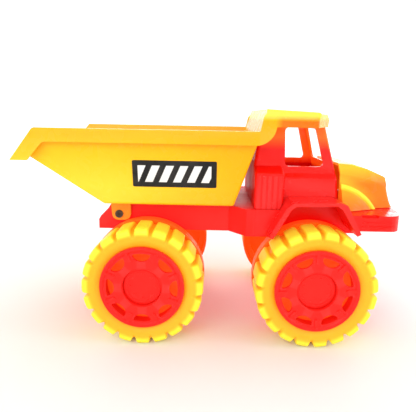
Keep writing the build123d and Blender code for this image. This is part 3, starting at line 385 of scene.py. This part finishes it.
# Each tint is a colour, its strength and its place; the order is the order of the layers. Most tints and
# every glow are painted light or shade.
RED = moulded_plastic(
    "red_body", (0.93, 0.010, 0.006), (0.84, 0.005, 0.004), 0.2,
    tints=[(GLOW_ORANGE, 0.85, CAB_INSIDE)],
    matt=[CAB_BACK],
    lit=[CAB_INSIDE],
)
RED_WHEEL = moulded_plastic("red_wheel", (0.93, 0.016, 0.010), (0.86, 0.010, 0.007), 0.34, glow=0.05)
# The core's strong glow is painted light on a part that sits in shade.
CORE = moulded_plastic("orange_core", (1.0, 0.11, 0.004), (0.98, 0.09, 0.003), 0.34, glow=0.4)
YELLOW = moulded_plastic(
    "yellow_bed", (1.0, 0.455, 0.001), (0.99, 0.41, 0.001), 0.24,
    tints=[
        (WARM_ORANGE, 0.2, BED_FRONT),
        (LEMON, 0.5, BED_LOW_REAR),
        (WARM_ORANGE, 0.85, HINGE_EARS),
        (CANOPY_SHADE_ORANGE, 0.85, CANOPY_SIDE),
        (LEMON, 0.75, CANOPY_TOP),
    ],
    glow=0.06,
)
TYRE = moulded_plastic(
    "yellow_tyre", (1.0, 0.50, 0.022), (1.0, 0.44, 0.014), 0.36,
    tints=[(TREAD_SHADE_ORANGE, 0.8, TREAD_INBOARD), (LEMON, 0.92, LUG_TOPS)],
    glow=0.05,
)
# The hood's lemon tints are painted light on its lit upper faces.
ORANGE = moulded_plastic(
    "orange_hood", (1.0, 0.185, 0.003), (1.0, 0.155, 0.002), 0.22,
    tints=[(LEMON, 0.35, HOOD_SWELLING), (LEMON, 0.45, HOOD_CREST), (LEMON, 0.8, HOOD_BEAD)],
    glow=0.15,
)
STEEL = metal("steel", (0.42, 0.42, 0.43), (0.30, 0.30, 0.31), 0.32)
DARK_STEEL = metal("dark_steel", (0.09, 0.06, 0.045), (0.05, 0.035, 0.03), 0.42)
LABEL = printed_label()


# ---------------------------------------------------------------- soft lugged tyres
AXLE_Z = 0.058
AXLE_X = {"rear": -0.065, "front": 0.100}
PHASE = {"rear": 0.0, "front": 25.0}    # how far each axle has rolled, in degrees
LUGS = 20
# Section of the tyre in millimetres, from the bead outward and back inside: radius and
# distance from the truck's centre plane, in the grooves and on the lugs.
SECTION = [
    ((38.0, 104.9), (38.0, 104.9)),
    ((38.0, 107.0), (38.0, 107.0)),
    ((41.2, 107.4), (41.2, 107.4)),
    ((43.4, 108.5), (43.4, 108.5)),
    ((45.4, 109.4), (45.4, 109.4)),
    ((47.4, 109.8), (47.4, 109.8)),
    ((49.2, 109.8), (49.3, 110.0)),
    ((50.8, 109.2), (51.0, 110.5)),
    ((52.2, 108.0), (52.8, 110.9)),
    ((53.4, 106.2), (54.8, 110.7)),
    ((54.3, 104.0), (56.4, 109.8)),
    ((54.9, 101.4), (57.4, 108.2)),
    ((55.1, 98.6), (57.9, 106.0)),
    ((55.0, 95.0), (58.0, 103.0)),
    ((54.8, 91.0), (58.0, 98.0)),
    ((54.6, 86.0), (58.0, 91.0)),
    ((54.4, 81.0), (58.0, 84.0)),
    ((54.2, 78.0), (57.9, 78.4)),
    ((54.0, 76.4), (57.5, 76.6)),
    ((54.0, 75.4), (56.6, 75.5)),
    ((53.8, 74.7), (54.8, 74.8)),
    ((53.2, 74.3), (53.4, 74.3)),
    ((51.6, 74.3), (51.6, 74.3)),
    ((51.6, 99.2), (51.6, 99.2)),
    ((48.7, 106.1), (48.7, 106.1)),
    ((42.5, 104.8), (42.5, 104.8)),
]
# Distances from a lug's middle, as shares of half the pitch, where the surface is sampled.
LUG_SAMPLES = [0.0, 0.25, 0.5, 0.62, 0.68, 0.73, 0.78, 0.83, 0.88, 0.94]
LUG_HALF = 7.5                # half a lug's width, in millimetres along the tread
LUG_ROUND = 2.4               # width of the rounding at its sides
SIDEWALL_RADIUS = 50.0        # the "lug" attribute starts here
LUG_FADE = 3.5                # and is full this much further out
MM = 0.001


def lug_share(distance):
    """One on top of a lug and none in a groove, rounded between them."""
    reach = min(max((LUG_HALF - distance) / LUG_ROUND, 0.0), 1.0)
    return reach * (2.0 - reach)


def tyre_columns():
    half_pitch = math.pi / LUGS
    offsets = [-share * half_pitch for share in reversed(LUG_SAMPLES[1:])]
    offsets += [share * half_pitch for share in LUG_SAMPLES] + [half_pitch]
    return [(2 * half_pitch * lug + offset, abs(offset)) for lug in range(LUGS) for offset in offsets]


def tyre_piece(row, hand):
    """A tyre whose lugs swell softly out of the sidewall, in place of the CAD tyre."""
    side = 1 if hand == "left" else -1
    turn = math.radians(PHASE[row])
    shape = bmesh.new()
    height = shape.verts.layers.float.new("lug")
    rings = []
    for angle, away in tyre_columns():
        ring = []
        for groove, lug in SECTION:
            share = lug_share(away * lug[0])
            radius = (groove[0] + (lug[0] - groove[0]) * share) * MM
            across = (groove[1] + (lug[1] - groove[1]) * share) * MM
            forward = radius * math.cos(angle)
            down = radius * math.sin(angle) * side
            x = AXLE_X[row] + forward * math.cos(turn) + down * math.sin(turn)
            z = AXLE_Z + forward * math.sin(turn) - down * math.cos(turn)
            corner = shape.verts.new((x, side * across, z))
            corner[height] = share * min(max((lug[0] - SIDEWALL_RADIUS) / LUG_FADE, 0.0), 1.0)
            ring.append(corner)
        rings.append(ring)
    for here, there in zip(rings, rings[1:] + rings[:1]):
        for index in range(len(SECTION)):
            after = (index + 1) % len(SECTION)
            shape.faces.new((here[index], here[after], there[after], there[index]))
    bmesh.ops.recalc_face_normals(shape, faces=shape.faces)
    name = f"soft_tyre_{row}_{hand}"
    mesh = bpy.data.meshes.new(name)
    shape.to_mesh(mesh)
    shape.free()
    for face in mesh.polygons:
        face.use_smooth = True
    mesh.materials.append(TYRE)
    piece = bpy.data.objects.new(name, mesh)
    bpy.context.collection.objects.link(piece)
    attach(piece, f"{row}_wheelset")
    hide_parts(f"tyre_{row}_{hand}")


EDGE_WIDTH = 0.0008
EDGE_SEGMENTS = 2
EDGE_ANGLE = 40.0


def round_edges(node):
    """Round the moulding's sharp edges, so that they catch the light."""
    bevel = NODES[node].modifiers.new("rounded edges", "BEVEL")
    bevel.width = EDGE_WIDTH
    bevel.segments = EDGE_SEGMENTS
    bevel.limit_method = "ANGLE"
    bevel.angle_limit = math.radians(EDGE_ANGLE)


def paint(node, material):
    shown = NODES[node]
    shown.data.materials.clear()
    shown.data.materials.append(material)


# The first entry that starts a node's name gives its material, so cab_screws comes before cab.
FINISH = [
    ("tyre", TYRE),
    ("wheel_core", CORE),
    ("hub", RED_WHEEL),
    ("bed_label", LABEL),
    ("rear_axle", STEEL),
    ("front_axle", STEEL),
    ("cab_screws", STEEL),
    ("hood_screws", STEEL),
    ("hinge_screws", DARK_STEEL),
    ("chassis", RED),
    ("cab", RED),
    ("hood", ORANGE),
    ("dump_bed", YELLOW),
]
for node in NODES:
    paint(node, next(material for start, material in FINISH if node.startswith(start)))

for node in ("chassis", "cab", "hood", "dump_bed"):
    round_edges(node)
for row in AXLE_X:
    for hand in ("left", "right"):
        tyre_piece(row, hand)

add_camera()
add_studio()
